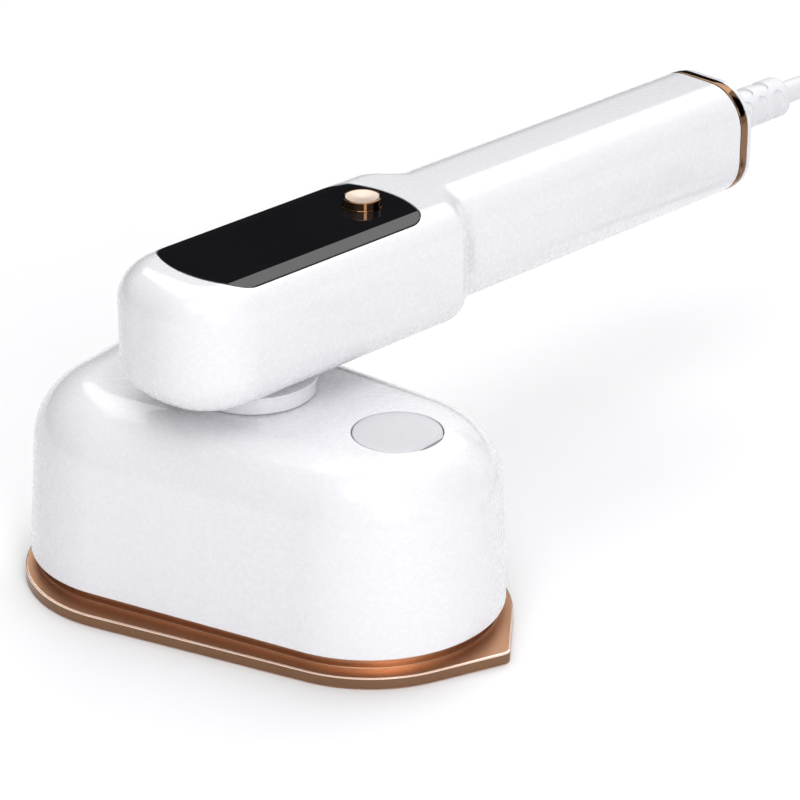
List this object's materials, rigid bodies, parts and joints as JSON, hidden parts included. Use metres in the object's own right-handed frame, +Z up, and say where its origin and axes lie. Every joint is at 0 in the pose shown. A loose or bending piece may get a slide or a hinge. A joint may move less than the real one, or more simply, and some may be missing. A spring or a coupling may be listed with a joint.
{
  "type": "garment steamer",
  "caption": "Travel steam iron with a pointed metal soleplate, white water head, and a swivelling handle with a black display panel and a push button.",
  "frame": {"origin": "on the swivel's axis in the plane of the soleplate's underside", "axes": "+Z up along the swivel's axis, +X to the soleplate's nose"},
  "size_m": [0.2366, 0.3059, 0.0992],
  "materials": {
    "white_shell": "gloss moulded ABS, white",
    "rose_gold": "satin rose-gold",
    "black_lens": "high-gloss black",
    "cast_aluminium": "as cast",
    "steel": "plain",
    "brass": "plain",
    "copper": "enamelled winding",
    "silicone": "matt silicone",
    "tank_plastic": "natural polypropylene",
    "dark_plastic": "matt",
    "circuit_board": "solder mask",
    "wire_sleeve": "silicone sleeve",
    "cord_sheath": "satin white PVC"
  },
  "bodies": {
    "head": {"soleplate": "rose_gold", "heater_casting": "cast_aluminium", "heating_element": "steel", "element_terminal_left": "brass", "element_terminal_right": "brass", "chamber_gasket": "silicone", "chamber_cover": "steel", "thermostat": "steel", "thermal_fuse": "brass", "heat_shield": "dark_plastic", "casting_screw_1": "steel", "casting_screw_2": "steel", "casting_screw_3": "steel", "water_tank": "tank_plastic", "water_pump": "tank_plastic", "pump_coil": "copper", "suction_hose": "silicone", "delivery_hose": "silicone", "head_housing": "white_shell", "swivel_washer": "steel", "head_harness": "wire_sleeve"},
    "stopper": {"filler_cap": "white_shell", "cap_seal": "silicone"},
    "handle": {"swivel_neck": "white_shell", "swivel_retainer": "steel", "neck_lock_ring": "dark_plastic", "handle_upper_shell": "white_shell", "handle_lower_cover": "white_shell", "display_lens": "black_lens", "handle_screw_1": "steel", "handle_screw_2": "steel", "handle_screw_3": "steel", "handle_screw_4": "steel", "button_bezel": "rose_gold", "control_board": "circuit_board", "display_module": "dark_plastic", "tact_switch": "dark_plastic", "power_board": "circuit_board", "power_relay": "dark_plastic", "filter_capacitor": "dark_plastic", "terminal_block": "dark_plastic", "neck_harness": "wire_sleeve", "mains_wires": "cord_sheath", "cord_clamp": "dark_plastic", "end_ring": "rose_gold", "end_cap": "white_shell", "strain_relief": "cord_sheath", "power_cord": "cord_sheath", "cord_coil": "cord_sheath", "coil_tie": "dark_plastic", "cord_tail": "cord_sheath", "plug_body": "cord_sheath", "plug_pin_left": "brass", "plug_pin_right": "brass"},
    "button": {"power_button": "rose_gold"}
  },
  "joints": [
    {"name": "handle_swivel", "type": "hinge", "parent": "head", "child": "handle", "pos_m": [0, 0, 0.0565], "axis": [0, 0, 1], "range_deg": [-78.5, 101.5]},
    {"name": "filler_cap_lift", "type": "slide", "parent": "head", "child": "stopper", "axis": [0, 0, 1], "range_m": [0, 0.005]},
    {"name": "power_button_press", "type": "slide", "parent": "handle", "child": "button", "axis": [0, 0, -1], "range_m": [0, 0.0008], "stiffness_N_per_m": 2500}
  ]
}
